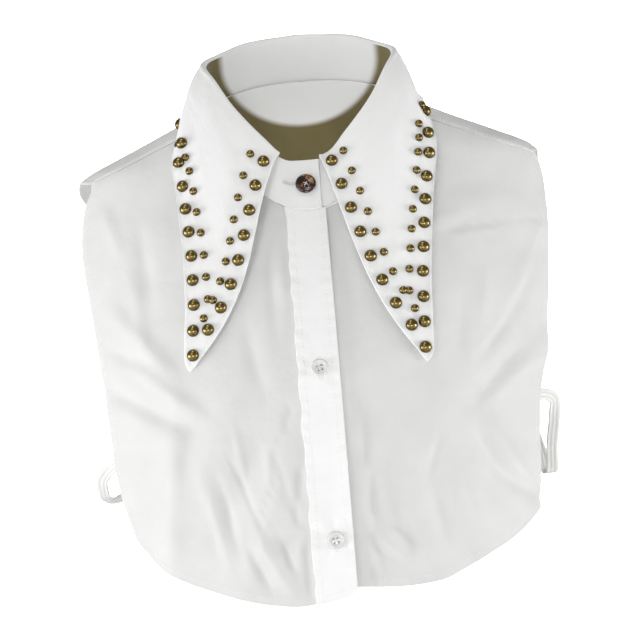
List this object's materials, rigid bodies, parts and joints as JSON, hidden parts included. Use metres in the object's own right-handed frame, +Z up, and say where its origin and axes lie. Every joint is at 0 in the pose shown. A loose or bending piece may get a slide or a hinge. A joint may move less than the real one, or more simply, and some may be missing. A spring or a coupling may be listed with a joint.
{
  "type": "detachable shirt collar",
  "caption": "Detachable shirt collar with long dagger points edged in domed brass studs, on a sleeveless cropped cotton shirt front and back with side straps.",
  "frame": {"origin": "middle of the neck opening, level with the side of the neck just above the shoulders", "axes": "+Z up along the neck, -Y the way the front faces, +X to the right as seen from the front"},
  "size_m": [0.3509, 0.2024, 0.4251],
  "materials": {
    "white_poplin": "matt woven cotton",
    "antique_brass": "polished domes, aged to olive gold",
    "tortoiseshell_resin": "gloss, mottled amber and near-black",
    "clear_white_plastic": "gloss, slightly see-through",
    "white_elastic": "ribbed woven elastic"
  },
  "bodies": {
    "root": {"front_left": "white_poplin", "front_right": "white_poplin", "back_panel": "white_poplin", "collar_stand": "white_poplin", "collar_fall": "white_poplin", "placket": "white_poplin", "stand_button": "tortoiseshell_resin", "front_button_upper": "clear_white_plastic", "front_button_lower": "clear_white_plastic", "side_strap_left": "white_elastic", "side_strap_right": "white_elastic", "stud_left_outer_01": "antique_brass", "stud_left_outer_02": "antique_brass", "stud_left_outer_03": "antique_brass", "stud_left_outer_04": "antique_brass", "stud_left_outer_05": "antique_brass", "stud_left_outer_06": "antique_brass", "stud_left_outer_07": "antique_brass", "stud_left_outer_08": "antique_brass", "stud_left_outer_09": "antique_brass", "stud_left_outer_10": "antique_brass", "stud_left_outer_11": "antique_brass", "stud_left_inner_01": "antique_brass", "stud_left_inner_02": "antique_brass", "stud_left_inner_03": "antique_brass", "stud_left_inner_04": "antique_brass", "stud_left_inner_05": "antique_brass", "stud_left_inner_06": "antique_brass", "stud_left_inner_07": "antique_brass", "stud_left_inner_08": "antique_brass", "stud_right_outer_01": "antique_brass", "stud_right_outer_02": "antique_brass", "stud_right_outer_03": "antique_brass", "stud_right_outer_04": "antique_brass", "stud_right_outer_05": "antique_brass", "stud_right_outer_06": "antique_brass", "stud_right_outer_07": "antique_brass", "stud_right_outer_08": "antique_brass", "stud_right_outer_09": "antique_brass", "stud_right_outer_10": "antique_brass", "stud_right_outer_11": "antique_brass", "stud_right_inner_01": "antique_brass", "stud_right_inner_02": "antique_brass", "stud_right_inner_03": "antique_brass", "stud_right_inner_04": "antique_brass", "stud_right_inner_05": "antique_brass", "stud_right_inner_06": "antique_brass", "stud_right_inner_07": "antique_brass", "stud_right_inner_08": "antique_brass"}
  },
  "joints": []
}
